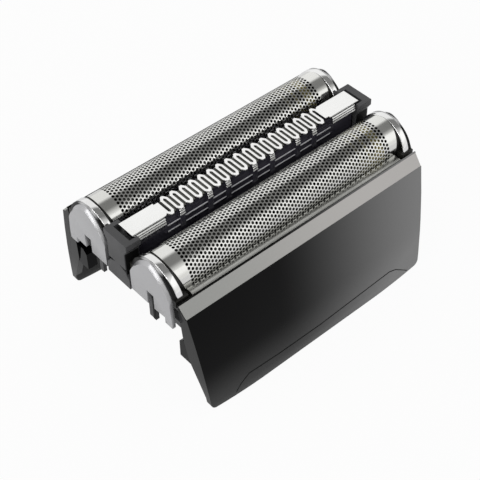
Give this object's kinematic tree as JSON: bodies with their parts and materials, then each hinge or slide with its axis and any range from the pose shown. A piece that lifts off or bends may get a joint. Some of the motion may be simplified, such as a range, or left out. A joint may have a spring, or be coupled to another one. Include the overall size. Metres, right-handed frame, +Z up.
{
  "type": "shaver foil head",
  "caption": "Replacement shaving cassette: sprung arched foils over cutters either side of a sprung comb trimmer, between flared glossy covers.",
  "frame": {"origin": "middle of the base, level with the feet of the covers", "axes": "+X along the foils, -Y to the front cover, +Z up to the shaving side"},
  "size_m": [0.0482, 0.035, 0.0259],
  "materials": {
    "black_shell": "gloss",
    "silver_band": "satin",
    "foil_steel": "polished",
    "dark_plastic": "satin",
    "frame_plastic": "satin",
    "bright_rail": "polished",
    "grey_cap": "satin",
    "blade_steel": "ground",
    "comb_steel": "polished",
    "spring_steel": "plain"
  },
  "bodies": {
    "cassette": {"cassette_frame": "frame_plastic", "front_cover": "black_shell", "front_cover_band": "silver_band", "front_right_foil_spring": "spring_steel", "front_left_foil_spring": "spring_steel", "rear_cover": "black_shell", "rear_cover_band": "silver_band", "rear_right_foil_spring": "spring_steel", "rear_left_foil_spring": "spring_steel", "right_trimmer_spring": "spring_steel", "left_trimmer_spring": "spring_steel"},
    "front_foil_unit": {"front_foil": "foil_steel", "front_foil_frame": "dark_plastic", "front_outer_rail": "bright_rail", "front_inner_rail": "bright_rail", "front_right_arch_ring": "bright_rail", "front_left_arch_ring": "bright_rail", "front_right_end_cap": "grey_cap", "front_left_end_cap": "grey_cap"},
    "front_cutter": {"front_cutter_blades": "blade_steel", "front_cutter_carrier": "dark_plastic"},
    "rear_foil_unit": {"rear_foil": "foil_steel", "rear_foil_frame": "dark_plastic", "rear_outer_rail": "bright_rail", "rear_inner_rail": "bright_rail", "rear_right_arch_ring": "bright_rail", "rear_left_arch_ring": "bright_rail", "rear_right_end_cap": "grey_cap", "rear_left_end_cap": "grey_cap"},
    "rear_cutter": {"rear_cutter_blades": "blade_steel", "rear_cutter_carrier": "dark_plastic"},
    "trimmer_unit": {"trimmer_comb": "comb_steel", "trimmer_carrier": "dark_plastic"},
    "trimmer_drive": {"trimmer_blade": "blade_steel", "trimmer_slider": "dark_plastic"}
  },
  "joints": [
    {"name": "front_foil_float", "type": "slide", "parent": "cassette", "child": "front_foil_unit", "axis": [0, 0, 1], "range_m": [-0.001, 0], "stiffness_N_per_m": 300, "springref_m": 0.002, "deforming": ["front_right_foil_spring", "front_left_foil_spring"]},
    {"name": "front_cutter_stroke", "type": "slide", "parent": "front_foil_unit", "child": "front_cutter", "axis": [1, 0, 0], "range_m": [-0.001, 0.001]},
    {"name": "rear_foil_float", "type": "slide", "parent": "cassette", "child": "rear_foil_unit", "axis": [0, 0, 1], "range_m": [-0.001, 0], "stiffness_N_per_m": 300, "springref_m": 0.002, "deforming": ["rear_right_foil_spring", "rear_left_foil_spring"]},
    {"name": "rear_cutter_stroke", "type": "slide", "parent": "rear_foil_unit", "child": "rear_cutter", "axis": [1, 0, 0], "range_m": [-0.001, 0.001]},
    {"name": "trimmer_float", "type": "slide", "parent": "cassette", "child": "trimmer_unit", "axis": [0, 0, 1], "range_m": [-0.001, 0], "stiffness_N_per_m": 300, "springref_m": 0.002, "deforming": ["right_trimmer_spring", "left_trimmer_spring"]},
    {"name": "trimmer_blade_stroke", "type": "slide", "parent": "trimmer_unit", "child": "trimmer_drive", "axis": [1, 0, 0], "range_m": [-0.001, 0.001]}
  ]
}
